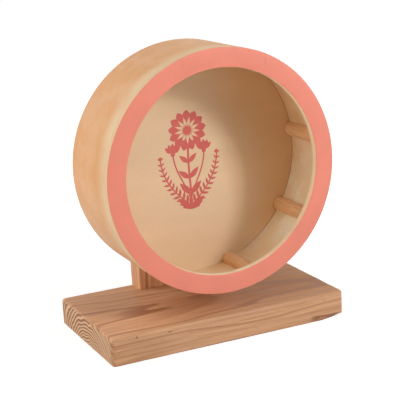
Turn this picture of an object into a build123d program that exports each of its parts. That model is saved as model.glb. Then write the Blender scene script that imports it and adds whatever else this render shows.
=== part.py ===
from build123d import *
import math
import os

# A wooden hamster wheel on a stand. All sizes are in millimetres and angles in degrees.
# The origin is the middle of the base board's underside, +Z is up and the wheel's open side faces -Y.

# Wheel
wheel_diameter = 200.0
wheel_depth = 79.0
hoop_thickness = 2.0
ring_thickness = 6.0
ring_width = 16.0
ring_edge_round = 0.6
disc_thickness = 6.0
disc_recess = 9.0
rung_count = 9
rung_radius = 6.5
first_rung_angle = 8.0

# Gaps between pieces that are glued or pushed together, and between the wheel and the stand
glue_gap = 0.1
fit_gap = 0.05
running_gap = 0.1
wheel_to_base_gap = 19.0
wheel_to_post_gap = 23.0

# Stand
base_length = 213.0
base_width = 121.5
base_thickness = 24.0
base_corner_round = 3.0
base_top_round = 2.5
base_bottom_round = 1.2
post_width = 79.5
post_thickness = 20.0
post_above_axle = 38.0
post_top_round = 15.0
post_edge_round = 1.5

# The wane: a bevel left by the outside of the log on the base board's lower front edge, at its right end
wane_length = 32.0
wane_start_height = 4.0
wane_start_depth = 3.2
wane_end_height = 5.8
wane_end_depth = 7.5

# Ball bearings
bearing_bore = 8.0
bearing_diameter = 22.0
bearing_width = 7.0
bearing_pitch_diameter = 15.0
ball_diameter = 3.9
ball_count = 7
inner_shoulder_diameter = 12.1
outer_land_diameter = 17.9
shield_seat_diameter = 19.2
shield_recess = 0.3
shield_thickness = 0.4
cage_wall = 1.2
cage_rim = 0.5
ring_lip_round = 0.3
bearing_shoulder = 2.0

# Hub and axle
hub_diameter = 60.0
hub_thickness = 16.0
hub_edge_round = 2.0
sleeve_wall = 1.5
rear_washer_thickness = 1.0
rear_washer_wall = 1.75
insert_diameter = 12.0
insert_length = 14.0
insert_ridge_height = 0.6
insert_ridge_pitch = 2.0
bolt_head_across_flats = 13.0
bolt_head_height = 5.3
bolt_tip_chamfer = 0.8
bolt_end_gap = 1.0

# Screws through the hub block into the back disc
hub_screw_count = 4
hub_screw_circle = 42.0
hub_screw_diameter = 3.5
hub_screw_head_diameter = 7.0
hub_screw_grip = 4.0
hub_screw_tip = 2.5

# Screws and dowels between the base board and the post
post_screw_spacing = 52.0
post_screw_diameter = 5.0
post_screw_head_diameter = 10.0
post_screw_grip = 36.0
post_screw_sink = 0.8
post_screw_tip = 5.0
post_dowel_spacing = 22.0
post_dowel_diameter = 8.0
post_dowel_depth = 15.0
post_dowel_chamfer = 1.0

# Proportions of a countersunk head's cross recess, as shares of the head's diameter
recess_reach_share = 0.6
recess_width_share = 0.12
recess_depth_share = 0.25

# One overrun for every cut that has to break through a face
cut_overrun = 1.0

# Stations along the axle, counted from the front ring's front face towards the post
wheel_radius = wheel_diameter / 2
hoop_inner_radius = wheel_radius - hoop_thickness
ring_inner_radius = wheel_radius - ring_width
disc_back = wheel_depth - disc_recess
disc_front = disc_back - disc_thickness
hub_back = disc_back + hub_thickness
post_front = wheel_depth + wheel_to_post_gap
post_back = post_front + post_thickness
rear_bearing_front = post_back - bearing_width
washer_back = post_back + rear_washer_thickness

# Places in the object's own frame
axle_height = base_thickness + wheel_to_base_gap + wheel_radius
wheel_front = base_width / 2 - post_back
post_middle_y = base_width / 2 - post_thickness / 2
shank_radius = bearing_bore / 2 - fit_gap
bearing_centre = bearing_width / 2
ball_orbit_radius = bearing_pitch_diameter / 2
groove_radius = ball_diameter / 2 + running_gap


def rod(radius, length, start=0):
    """A solid cylinder along +Z from the height start."""
    return Pos(0, 0, start) * Cylinder(radius, length, align=(Align.CENTER, Align.CENTER, Align.MIN))


def tube(outer_radius, inner_radius, length, start=0):
    """A plain tube along +Z from the height start."""
    bore_start = start - cut_overrun
    return rod(outer_radius, length, start) - rod(inner_radius, length + 2 * cut_overrun, bore_start)


def on_axle(part, station=0):
    """Turns a part made along +Z so that it points from the wheel to the post, at a station of the axle."""
    return Pos(0, wheel_front + station, axle_height) * Rot(-90, 0, 0) * part


def around(part, count, first_angle=0):
    """Copies of a part, evenly spaced round +Z."""
    step = 360 / count
    return [Rot(0, 0, first_angle + step * i) * part for i in range(count)]


def circle_edges_at(part, radius, height):
    """The circular edges of a part that have this radius and lie at this height."""
    circles = part.edges().filter_by(GeomType.CIRCLE)
    level = circles.filter_by_position(Axis.Z, height - fit_gap, height + fit_gap)
    return level.filter_by(lambda edge: abs(edge.radius - radius) < fit_gap)


def screw(diameter, head_diameter, length, tip, gap=0, sink=0):
    """A countersunk screw along +Z with its head at zero; a gap makes the hole that it fits in."""
    radius = diameter / 2 + gap
    head_radius = head_diameter / 2 + gap
    head_height = (head_diameter - diameter) / 2
    outline = Polyline(
        (0, 0),
        (head_radius, 0),
        (radius, head_height),
        (radius, length - tip + gap),
        (0, length + gap),
        close=True,
    )
    body = revolve(Plane.XZ * make_face(outline), Axis.Z)
    if gap:
        mouth = sink + cut_overrun
        return body + rod(head_radius, mouth, -mouth)
    reach = head_diameter * recess_reach_share
    width = head_diameter * recess_width_share
    depth = head_diameter * recess_depth_share
    for turn in (0, 90):
        body -= Rot(0, 0, turn) * Box(reach, width, 2 * depth)
    return body


def make_front_ring():
    ring = tube(wheel_radius, ring_inner_radius, ring_thickness)
    front_edges = circle_edges_at(ring, wheel_radius, 0) + circle_edges_at(ring, ring_inner_radius, 0)
    return on_axle(fillet(front_edges, ring_edge_round))


def make_running_hoop():
    length = wheel_depth - ring_thickness
    return on_axle(tube(wheel_radius, hoop_inner_radius, length), ring_thickness)


def make_back_disc():
    disc = rod(hoop_inner_radius - glue_gap, disc_thickness)
    for hole in hub_screw_places(fit_gap):
        disc -= Pos(0, 0, -disc_front) * hole
    return on_axle(disc, disc_front)


def make_rungs():
    """Half-round strips across the inside of the hoop, between the front ring and the back disc."""
    length = disc_front - ring_thickness
    strip = Pos(hoop_inner_radius, 0, 0) * rod(rung_radius, length)
    strip &= rod(hoop_inner_radius - glue_gap, length)
    # The turn about the axle runs clockwise in the front view, so the first angle changes its sign
    return [on_axle(rung, ring_thickness) for rung in around(strip, rung_count, -first_rung_angle)]


def hub_screw_places(gap=0):
    """The hub screws, or with a gap their holes, at their stations along the axle."""
    length = hub_thickness + hub_screw_grip
    one = screw(hub_screw_diameter, hub_screw_head_diameter, length, hub_screw_tip, gap)
    one = Pos(hub_screw_circle / 2, 0, hub_back) * Rot(180, 0, 0) * one
    return around(one, hub_screw_count, 360 / hub_screw_count / 2)


def make_hub_block():
    block = rod(hub_diameter / 2, hub_thickness)
    block = fillet(circle_edges_at(block, hub_diameter / 2, hub_thickness), hub_edge_round)
    hole_radius = insert_diameter / 2 + insert_ridge_height + fit_gap
    block -= rod(hole_radius, insert_length + cut_overrun, hub_thickness - insert_length)
    tip_depth = insert_length + bolt_end_gap
    block -= rod(bearing_bore / 2, tip_depth + cut_overrun, hub_thickness - tip_depth)
    for hole in hub_screw_places(fit_gap):
        block -= Pos(0, 0, -disc_back) * hole
    return on_axle(block, disc_back)


def make_threaded_insert():
    """A steel sleeve with outer ridges, set into the hub block, that the axle bolt screws into."""
    radius = insert_diameter / 2
    insert = tube(radius, bearing_bore / 2, insert_length)
    ridge_width = insert_ridge_pitch / 2
    ridge = tube(radius + insert_ridge_height, radius - fit_gap, ridge_width)
    ridge = chamfer(circle_edges_at(ridge, radius + insert_ridge_height, ridge_width), insert_ridge_height / 2)
    for i in range(int(insert_length / insert_ridge_pitch)):
        insert += Pos(0, 0, insert_ridge_pitch * i) * ridge
    return on_axle(insert, hub_back - insert_length)


def make_hub_sleeve():
    inner = bearing_bore / 2
    return on_axle(tube(inner + sleeve_wall, inner, post_front - hub_back), hub_back)


def make_inner_spacer():
    """The short tube between the two bearings' inner rings."""
    inner = bearing_bore / 2
    length = post_thickness - 2 * bearing_width
    return on_axle(tube(inner + sleeve_wall, inner, length), post_front + bearing_width)


def make_rear_washer():
    inner = bearing_bore / 2
    return on_axle(tube(inner + rear_washer_wall, inner, rear_washer_thickness), post_back)


def make_axle_bolt():
    """A hexagon bolt from behind the post, through both bearings, into the hub block's threaded insert."""
    shank_start = hub_back - insert_length
    shank = rod(shank_radius, washer_back - shank_start)
    shank = chamfer(circle_edges_at(shank, shank_radius, 0), bolt_tip_chamfer)
    head_radius = bolt_head_across_flats / 2
    hexagon = RegularPolygon(head_radius, 6, major_radius=False)
    head = extrude(hexagon, bolt_head_height)
    corner_radius = head_radius / math.cos(math.pi / 6)
    crown = rod(corner_radius, bolt_head_height)
    crown = chamfer(circle_edges_at(crown, corner_radius, bolt_head_height), corner_radius - head_radius)
    head = Pos(0, 0, washer_back - shank_start) * (head & crown)
    return on_axle(shank + head, shank_start)


def bearing_groove():
    return Pos(0, 0, bearing_centre) * Torus(ball_orbit_radius, groove_radius)


def make_bearing(station):
    """The rings, balls, cage and shields of one ball bearing whose front face is at a station."""
    outer_radius = bearing_diameter / 2
    outer = tube(outer_radius, outer_land_diameter / 2, bearing_width)
    for height in (0, bearing_width):
        outer = fillet(circle_edges_at(outer, outer_radius, height), ring_lip_round)
    seat_radius = shield_seat_diameter / 2
    seat_depth = shield_recess + shield_thickness
    outer -= rod(seat_radius, seat_depth + cut_overrun, -cut_overrun)
    outer -= rod(seat_radius, seat_depth + cut_overrun, bearing_width - seat_depth)
    outer -= bearing_groove()

    inner_radius = inner_shoulder_diameter / 2
    inner = tube(inner_radius, bearing_bore / 2, bearing_width)
    for height in (0, bearing_width):
        inner = fillet(circle_edges_at(inner, bearing_bore / 2, height), ring_lip_round)
    inner -= bearing_groove()

    ball = Pos(ball_orbit_radius, 0, bearing_centre) * Sphere(ball_diameter / 2)
    pocket = Pos(ball_orbit_radius, 0, bearing_centre) * Rot(0, 90, 0) * Cylinder(groove_radius, 2 * cage_wall)
    cage_half = groove_radius + cage_rim
    cage_middle = bearing_centre - cage_half
    cage_outer = ball_orbit_radius + cage_wall / 2
    cage_inner = ball_orbit_radius - cage_wall / 2
    cage = tube(cage_outer, cage_inner, 2 * cage_half, cage_middle)
    for cut in around(pocket, ball_count):
        cage -= cut

    shield = tube(seat_radius - fit_gap, inner_radius + running_gap, shield_thickness)
    shields = [
        Pos(0, 0, shield_recess) * shield,
        Pos(0, 0, bearing_width - shield_recess - shield_thickness) * shield,
    ]
    return {
        "outer_ring": on_axle(outer, station),
        "inner_ring": on_axle(inner, station),
        "balls": group([on_axle(one, station) for one in around(ball, ball_count)]),
        "cage": on_axle(cage, station),
        "shields": group([on_axle(one, station) for one in shields]),
    }


def post_screw_places(gap=0):
    """The post screws, or with a gap their holes, driven up through the base board."""
    length = base_thickness - post_screw_sink + post_screw_grip
    one = screw(post_screw_diameter, post_screw_head_diameter, length, post_screw_tip, gap, post_screw_sink)
    return [Pos(x, post_middle_y, post_screw_sink) * one for x in pair(post_screw_spacing)]


def post_dowel_places(gap=0):
    """The wooden dowels, or with a gap their holes, that keep the post from turning on the base board."""
    depth = post_dowel_depth + gap
    radius = post_dowel_diameter / 2 + gap
    one = rod(radius, 2 * depth, base_thickness - depth)
    if not gap:
        ends = one.edges().filter_by(GeomType.CIRCLE)
        one = chamfer(ends, post_dowel_chamfer)
    return [Pos(x, post_middle_y, 0) * one for x in pair(post_dowel_spacing)]


def pair(spacing):
    return (-spacing / 2, spacing / 2)


def make_wane_cut():
    """The wedge that takes the lower front corner off the right end of the base board."""
    front = -base_width / 2
    stations = (
        (base_length / 2 - wane_length, wane_start_height, wane_start_depth),
        (base_length / 2, wane_end_height, wane_end_depth),
    )
    faces = []
    for x, height, depth in stations:
        # The bevel's line runs on past both faces of the board
        outline = Polyline((-depth, -height), (-depth, 2 * height), (2 * depth, -height), close=True)
        faces.append(Plane(origin=(x, front, 0), x_dir=(0, 1, 0), z_dir=(1, 0, 0)) * make_face(outline))
    return loft(faces, ruled=True) + extrude(faces[-1], base_corner_round)


def make_base_board():
    board = Box(base_length, base_width, base_thickness, align=(Align.CENTER, Align.CENTER, Align.MIN))
    board = fillet(board.edges().filter_by(Axis.Z), base_corner_round)
    board = fillet(board.faces().sort_by(Axis.Z)[-1].edges(), base_top_round)
    board = fillet(board.faces().sort_by(Axis.Z)[0].edges(), base_bottom_round)
    board -= make_wane_cut()
    for hole in post_screw_places(fit_gap) + post_dowel_places(fit_gap):
        board -= hole
    return board


def make_upright_post():
    height = axle_height - base_thickness + post_above_axle
    post = Pos(0, post_middle_y, base_thickness) * Box(
        post_width, post_thickness, height, align=(Align.CENTER, Align.CENTER, Align.MIN)
    )
    top_corners = post.edges().filter_by(Axis.Y).group_by(Axis.Z)[-1]
    post = fillet(top_corners, post_top_round)
    for side in (0, -1):
        face = post.faces().filter_by(Axis.Y).sort_by(Axis.Y)[side]
        outline = face.edges().sort_by(Axis.Z)[1:]
        post = fillet(outline, post_edge_round)
    pocket_radius = bearing_diameter / 2 + fit_gap
    post -= on_axle(rod(pocket_radius, bearing_width + cut_overrun), post_front - cut_overrun)
    post -= on_axle(rod(pocket_radius, bearing_width + cut_overrun), rear_bearing_front)
    through_radius = bearing_diameter / 2 - bearing_shoulder
    post -= on_axle(rod(through_radius, post_thickness), post_front)
    for hole in post_screw_places(fit_gap) + post_dowel_places(fit_gap):
        post -= hole
    return post


def group(solids):
    return Compound(children=list(solids))


nodes = {
    "base_board": make_base_board(),
    "upright_post": make_upright_post(),
    "post_screws": group(post_screw_places()),
    "post_dowels": group(post_dowel_places()),
    "front_ring": make_front_ring(),
    "running_hoop": make_running_hoop(),
    "back_disc": make_back_disc(),
    "hub_block": make_hub_block(),
    "hub_screws": group([on_axle(one) for one in hub_screw_places()]),
    "threaded_insert": make_threaded_insert(),
    "hub_sleeve": make_hub_sleeve(),
    "inner_spacer": make_inner_spacer(),
    "rear_washer": make_rear_washer(),
    "axle_bolt": make_axle_bolt(),
}
for number, rung in enumerate(make_rungs(), 1):
    nodes[f"rung_{number}"] = rung
for side, station in (("front", post_front), ("rear", rear_bearing_front)):
    for piece, solid in make_bearing(station).items():
        nodes[f"{side}_bearing_{piece}"] = solid

os.makedirs("parts", exist_ok=True)
for name, solid in nodes.items():
    export_step(solid, f"parts/{name}.step")
print(len(nodes), "nodes, axle height", axle_height, "wheel front at y", wheel_front)
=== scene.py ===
import math
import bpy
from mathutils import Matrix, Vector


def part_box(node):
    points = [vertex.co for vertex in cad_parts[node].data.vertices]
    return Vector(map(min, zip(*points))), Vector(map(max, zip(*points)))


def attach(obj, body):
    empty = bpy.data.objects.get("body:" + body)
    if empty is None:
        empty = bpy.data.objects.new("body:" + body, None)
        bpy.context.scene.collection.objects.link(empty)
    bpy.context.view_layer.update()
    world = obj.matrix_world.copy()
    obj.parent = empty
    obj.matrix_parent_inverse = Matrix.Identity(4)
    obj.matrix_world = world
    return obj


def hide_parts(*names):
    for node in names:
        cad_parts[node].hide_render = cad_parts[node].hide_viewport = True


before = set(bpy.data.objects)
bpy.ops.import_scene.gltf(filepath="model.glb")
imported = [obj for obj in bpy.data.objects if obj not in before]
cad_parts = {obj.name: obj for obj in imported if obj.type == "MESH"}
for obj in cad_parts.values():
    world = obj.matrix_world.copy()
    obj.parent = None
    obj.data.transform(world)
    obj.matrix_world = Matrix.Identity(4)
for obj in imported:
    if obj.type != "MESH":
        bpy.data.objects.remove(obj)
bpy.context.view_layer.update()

from types import SimpleNamespace

import bmesh
import bpy
import numpy as np
from bpy.props import FloatProperty, FloatVectorProperty, IntProperty, PointerProperty
from mathutils import Matrix, Vector, noise

bl_info = {
    "name": "Hamster Wheel",
    "version": (1, 0, 0),
    "blender": (4, 5, 0),
    "location": "3D View > Sidebar > Hamster Wheel",
    "description": "Dresses a wooden hamster wheel: drum, rungs, axle, boards and stage",
    "category": "Add Mesh",
}

MM = 0.001
AXLE_HEIGHT = (sum(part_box("axle_bolt"), Vector()) / 2).z
RING_LOW, RING_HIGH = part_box("front_ring")
HOOP_LOW, HOOP_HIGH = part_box("running_hoop")
DISC_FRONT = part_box("back_disc")[0].y
HUB_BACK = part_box("hub_block")[1].y
BOARD_LOW, BOARD_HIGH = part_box("base_board")
POST_LOW, POST_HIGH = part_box("upright_post")
SCREWS_LOW, SCREWS_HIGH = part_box("post_screws")
DOWELS_LOW, DOWELS_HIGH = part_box("post_dowels")
WHEEL_RADIUS = (RING_HIGH.x - RING_LOW.x) / 2
# The lamps look at this point, from this far away in metres
LAMP_AIM = Vector((0, 0, AXLE_HEIGHT * 0.8))
LAMP_DISTANCE = 1.3

# Patches on the surfaces: centre and half sizes in millimetres, and strength
RING_SCRATCHES = (
    ((-31.0, -61.25, 232.0), (0.5, 3.0, 2.6), 0.35),
    ((41.0, -61.25, 228.0), (0.6, 3.0, 5.0), 0.35),
    ((26.8, -61.25, 237.2), (0.9, 3.0, 0.9), 0.35),
)
# Painted light on the hoop's lower right inside
HOOP_LIGHT_PATCH = (((80, -22, 90), (42, 60, 58), 0.9),)
BOARD_DENTS = (
    ((-56.2, -60.75, 20.4), (2.0, 1.5, 0.7), 0.7),
    ((-84.7, -60.75, 21.6), (0.8, 1.5, 1.2), 0.7),
)
# Painted shade on the base board: the wheel's shadow over its top right, then a darker front face, darkest
# low at its left end
BOARD_SHADOW_AND_DARKER_FRONT = (
    ((70, 10, 24), (62, 75, 9), 1.0),
    ((-88, -61, 6), (34, 7, 20), 0.5),
    ((0, -62, 10), (140, 5, 40), 0.18),
)
# Painted shade on the post's lit left side
POST_SIDE_SHADE = (((-40, 57, 100), (3, 16, 130), 0.8),)
# Linear colour of the painted light on the hoop's lower right inside
PAINTED_LIGHT_VENEER = (1.0, 0.95, 0.80)
# Tints that multiply a wood's colour: painted warm shade on the disc's right, painted shade and darker parts
# on the boards, a darker ring rim
WARM_SHADE = (0.96, 0.82, 0.64)
SHADE_BROWN = (0.80, 0.72, 0.61)
RIM_DARKENING = (0.78, 0.67, 0.56)


def linear(red, green, blue):
    """A screen colour from 0 to 255 as the linear colour that a shader takes."""
    def channel(value):
        value /= 255
        return value / 12.92 if value <= 0.04045 else ((value + 0.055) / 1.055) ** 2.4
    return (channel(red), channel(green), channel(blue))


def length_prop(name, description, default):
    return FloatProperty(
        name=name, description=description, default=default, min=0, unit="LENGTH", precision=5
    )


def angle_prop(name, description, degrees):
    return FloatProperty(name=name, description=description, default=math.radians(degrees), subtype="ANGLE")


def power_prop(name, description, default):
    return FloatProperty(name=name, description=description, default=default, min=0, unit="POWER")


def share_prop(name, description, default):
    return FloatProperty(name=name, description=description, default=default, min=0, max=1)


def pair_prop(name, description, default):
    return FloatVectorProperty(name=name, description=description, default=default, size=2, unit="LENGTH")


def colour_prop(name, description, screen):
    return FloatVectorProperty(
        name=name, description=description, default=linear(*screen), size=3, min=0, max=1, subtype="COLOR"
    )


class WheelSettings(bpy.types.PropertyGroup):
    """Sizes and colours of the drum that turns."""
    ring_width: length_prop("Ring width", "How far the front ring reaches inwards", 16 * MM)
    ring_edge_round: length_prop("Ring edge round", "Rounding of the ring's edges", 0.6 * MM)
    ring_wear: length_prop("Ring wear", "How far the ring's surface sinks in places", 0.05 * MM)
    hoop_wall: length_prop("Hoop wall", "Thickness of the bent plywood hoop", 2 * MM)
    hoop_edge_round: length_prop("Hoop edge round", "Rounding of the hoop's edges", 0.3 * MM)
    hoop_wear: length_prop("Hoop wear", "How far the hoop's surface sinks in places", 0.04 * MM)
    segments: IntProperty(name="Segments", description="Sides of the round pieces", default=288, min=24)
    rung_count: IntProperty(name="Rungs", description="Strips across the running surface", default=9, min=1)
    rung_radius: length_prop("Rung radius", "Radius of the half-round strips", 6.5 * MM)
    first_rung: angle_prop("First rung", "Angle of the first rung, seen from the front", 8)
    paint: colour_prop("Ring paint", "Colour of the ring's front face", (235, 136, 113))
    hoop_wood: colour_prop("Hoop wood", "Colour of the hoop's veneer", (229, 178, 131))
    inner_wood: colour_prop("Inner wood", "Colour of the hoop's inside", (245, 216, 178))
    bare_wood: colour_prop("Bare wood", "Colour of the ring's unpainted edges", (254, 237, 205))
    disc_wood: colour_prop("Disc wood", "Colour of the back disc's veneer", (240, 209, 172))
    rung_wood: colour_prop("Rung wood", "Colour of the rungs", (239, 196, 152))
    # The joint colour is painted contact shade, laid on the glue's right side
    glue: colour_prop("Joint", "Colour of the glued joints", (176, 124, 80))


class PrintSettings(bpy.types.PropertyGroup):
    """The plant motif printed on the back disc."""
    height: length_prop("Height", "Height of the motif", 84 * MM)
    centre: pair_prop("Centre", "Middle of the motif on the disc, from the axle", (-2 * MM, -1 * MM))
    film: length_prop("Ink", "Thickness of the printed ink", 0.1 * MM)
    ink: colour_prop("Ink colour", "Colour of the print", (211, 97, 89))


class StandSettings(bpy.types.PropertyGroup):
    """Sizes and colours of the base board and the post."""
    corner_round: length_prop("Corner round", "Rounding of the board's upright corners", 3.4 * MM)
    top_round: length_prop("Top round", "Rounding of the board's top edges", 2.8 * MM)
    bottom_round: length_prop("Bottom round", "Rounding of the board's bottom edges", 2.6 * MM)
    post_corner: length_prop("Post corner", "Rounding of the post's top corners", 15 * MM)
    post_edge: length_prop("Post edge", "Rounding of the post's edges", 1.5 * MM)
    wear: length_prop("Wear", "Depth of the wear along the edges", 0.25 * MM)
    wane_length: length_prop("Wane length", "Length of the bevel at the board's lower front edge", 34.5 * MM)
    wane_start: pair_prop("Wane start", "Height and depth of the bevel at its left end", (6.3 * MM, 1.3 * MM))
    wane_end: pair_prop("Wane end", "Height and depth of the bevel at the board's end", (4.2 * MM, 8.5 * MM))
    screw: length_prop("Screw", "Diameter of the post screws", 5 * MM)
    screw_head: length_prop("Screw head", "Diameter of the post screws' heads", 10 * MM)
    joint_gap: length_prop("Joint gap", "Gap round screws, dowels and bearings in their holes", 0.05 * MM)
    bearing_shoulder: length_prop("Bearing shoulder", "Step that each bearing sits against", 2 * MM)
    ring_spacing: length_prop("Growth rings", "Distance between growth rings 50 mm from the pith", 3.8 * MM)
    early_wood: colour_prop("Early wood", "Colour of the wide, pale part of a growth ring", (223, 177, 137))
    late_wood: colour_prop("Late wood", "Colour of the narrow, dark part of a growth ring", (158, 104, 65))


class StageSettings(bpy.types.PropertyGroup):
    """Camera, lamps and floor."""
    azimuth: angle_prop("Azimuth", "Turn of the camera about the object, from the front", -24.458)
    elevation: angle_prop("Elevation", "Height angle of the camera", 14.284)
    roll: angle_prop("Roll", "Turn of the camera about its own line of sight", -3.381)
    place: FloatVectorProperty(
        name="Place", description="Where the camera stands", default=(-0.39926, -0.8885, 0.35574),
        subtype="TRANSLATION",
    )
    lens: FloatProperty(name="Lens", description="Focal length", default=106.676, min=1, unit="CAMERA")
    key: power_prop("Key", "Power of the key lamp, front right", 7.55)
    top: power_prop("Top", "Power of the lamp above the front", 2.8)
    fill: power_prop("Fill", "Power of the fill lamp on the left", 5.6)
    back: power_prop("Back", "Power of the lamp behind on the left; the one on the right has less", 5.2)
    warm: colour_prop("Warm", "Colour of the fill lamps", (255, 246, 234))
    sky: share_prop("Sky", "Strength of the even light from all round", 0.03)
    floor: colour_prop("Floor", "Colour of the floor", (235, 235, 235))
    floor_shade: share_prop("Floor shade", "How strongly the floor shows its shadows", 0.45)
    floor_glow: share_prop("Floor glow", "Brightness of the floor under the object without any light", 0.75)


class HamsterWheelSettings(bpy.types.PropertyGroup):
    """All settings of the hamster wheel."""
    wheel: PointerProperty(type=WheelSettings)
    print: PointerProperty(type=PrintSettings)
    stand: PointerProperty(type=StandSettings)
    stage: PointerProperty(type=StageSettings)


def settings():
    return bpy.context.scene.hamster_wheel


# Node trees


class Wire:
    """A node's output. Arithmetic with wires and numbers adds Math nodes to their tree."""

    def __init__(self, tree, socket):
        self.tree = tree
        self.socket = socket

    def __add__(self, other):
        return maths("ADD", self, other)

    def __sub__(self, other):
        return maths("SUBTRACT", self, other)

    def __mul__(self, other):
        return maths("MULTIPLY", self, other)

    def __truediv__(self, other):
        return maths("DIVIDE", self, other)

    def __rtruediv__(self, other):
        return maths("DIVIDE", other, self)

    def __pow__(self, other):
        return maths("POWER", self, other)

    def __abs__(self):
        return maths("ABSOLUTE", self)


def link(wire, socket):
    wire.tree.links.new(wire.socket, socket)


def put(tree, kind, *values, **named):
    """Adds a node and returns its outputs as wires, by number and by name. The values go to its inputs in
    order, None for those left alone. A name that starts with a capital is an input's, any other one a
    property's. An input takes a value, a wire or a list of wires."""
    node = tree.nodes.new(kind)
    inputs = dict(enumerate(values))
    for name, value in named.items():
        if name[0].isupper():
            inputs[name.replace("_", " ")] = value
        else:
            setattr(node, name, value)
    for key, value in inputs.items():
        for item in value if isinstance(value, list) else [value]:
            if isinstance(item, Wire):
                link(item, node.inputs[key])
            elif item is not None:
                node.inputs[key].default_value = item
    wires = {}
    for number, socket in enumerate(node.outputs):
        wires[number] = wires[socket.name] = Wire(tree, socket)
    return wires


def shade(tree, kind, *values, **named):
    """The first output of a new shader node."""
    return put(tree, "ShaderNode" + kind, *values, **named)[0]


def geo(tree, kind, *values, **named):
    """The first output of a new geometry node."""
    return put(tree, "GeometryNode" + kind, *values, **named)[0]


def tree_of(*values):
    """The node tree of the first wire among the values."""
    return next(value.tree for value in values if isinstance(value, Wire))


def maths(operation, *values):
    """A Math node's result, from wires and numbers."""
    return shade(tree_of(*values), "Math", *values, operation=operation)


def vector(x=0.0, y=0.0, z=0.0):
    return shade(tree_of(x, y, z), "CombineXYZ", x, y, z)


def parts(wire):
    """A vector's X, Y and Z as wires 0, 1 and 2."""
    return put(wire.tree, "ShaderNodeSeparateXYZ", wire)


def arrange(tree):
    """Sets the nodes out in columns, from the output back."""
    column = {}

    def place(node, depth):
        if column.get(node.name, -1) >= depth:
            return
        column[node.name] = depth
        for socket in node.inputs:
            for joint in socket.links:
                place(joint.from_node, depth + 1)

    for node in tree.nodes:
        if not any(socket.links for socket in node.outputs):
            place(node, 0)
    rows = {}
    for node in tree.nodes:
        depth = column.get(node.name, 0)
        rows[depth] = rows.get(depth, 0) + 1
        node.location = (-260 * depth, -240 * rows[depth])


def stretched(place, *shares):
    return shade(place.tree, "VectorMath", place, shares, operation="MULTIPLY")


def cloud(place, detail=2.0, roughness=0.5, scale=1.0):
    """Soft noise from 0 to 1."""
    return shade(place.tree, "TexNoise", Vector=place, Scale=scale, Detail=detail, Roughness=roughness)


def remap(value, low, high, new_low=0.0, new_high=1.0, kind="LINEAR"):
    return shade(
        value.tree, "MapRange", Value=value, From_Min=low, From_Max=high, To_Min=new_low, To_Max=new_high,
        interpolation_type=kind, clamp=True,
    )


def blended(factor, first, second, kind="MIX"):
    """Two colours blended; a colour is a wire or three linear values."""
    first, second = [colour if isinstance(colour, Wire) else (*colour, 1) for colour in (first, second)]
    unused = [None] * 5
    tree = tree_of(factor, first, second)
    return put(tree, "ShaderNodeMix", factor, *unused, first, second, data_type="RGBA", blend_type=kind)[2]


def laid_on(colour, pattern, low, high, strength, other):
    """A colour with another one laid on where a pattern rises from low to high."""
    return blended(remap(pattern, low, high, 0.0, strength), colour, other)


def toned(colour, *shares):
    """A colour's three values times one share, or times three shares."""
    return tuple(value * share for value, share in zip(colour, shares * 3 if len(shares) == 1 else shares))


def length(wire):
    return put(wire.tree, "ShaderNodeVectorMath", wire, operation="LENGTH")["Value"]


def patched(colour, place, patches, other, kind="MIX"):
    """A colour with another one blended in over soft patches."""
    for centre, size, strength in patches:
        away = shade(place.tree, "VectorMath", place, centre, operation="SUBTRACT")
        distance = length(stretched(away, *[1 / half for half in size]))
        colour = blended(remap(distance, 0.6, 1.2, strength, 0.0), colour, other, kind)
    return colour


def attribute(tree, name):
    return put(tree, "ShaderNodeAttribute", attribute_name=name, attribute_type="GEOMETRY")["Fac"]


def surface_normal(tree):
    return parts(put(tree, "ShaderNodeTexCoord")["Normal"])


def axle_distance(place):
    """Distance from the wheel's axle in millimetres, and the place's three parts."""
    xyz = parts(place)
    height = xyz[2] - AXLE_HEIGHT / MM
    return maths("SQRT", xyz[0] * xyz[0] + height * height), xyz


# Materials


def new_material(name, metallic=0.0, roughness=0.6):
    """A material, and a wire with the place in millimetres."""
    material = bpy.data.materials.new(name)
    material.use_nodes = True
    tree = material.node_tree
    shader = tree.nodes["Principled BSDF"]
    shader.inputs["Metallic"].default_value = metallic
    shader.inputs["Roughness"].default_value = roughness
    place = put(tree, "ShaderNodeTexCoord")["Object"]
    return material, shade(tree, "VectorMath", place, Scale=1 / MM, operation="SCALE")


def close_material(material, colour, roughness=None, height=None, depth=0.0, strength=0.5):
    """Ends a material in its shader: colour, roughness and a fine relief with a depth in metres."""
    tree = material.node_tree
    shader = tree.nodes["Principled BSDF"]
    links = {"Base Color": colour, "Roughness": roughness}
    if height:
        links["Normal"] = shade(tree, "Bump", Height=height, Distance=depth, Strength=strength)
    for key, wire in links.items():
        if wire:
            link(wire, shader.inputs[key])
    arrange(tree)
    return material


def growth_band(inside):
    """How dark the wood is inside a growth ring, from its inner side to its outer one."""
    ramp = inside.tree.nodes.new("ShaderNodeValToRGB")
    link(inside, ramp.inputs[0])
    stops = ramp.color_ramp.elements
    stops[0].position, stops[0].color = 0.0, (0.25, 0.25, 0.25, 1)
    stops[1].position, stops[1].color = 0.10, (0.0, 0.0, 0.0, 1)
    for position, grey in ((0.50, 0.16), (0.80, 0.75), (0.91, 1.0), (1.0, 0.35)):
        stop = stops.new(position)
        stop.color = (grey, grey, grey, 1)
    return Wire(inside.tree, ramp.outputs[0])


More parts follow.
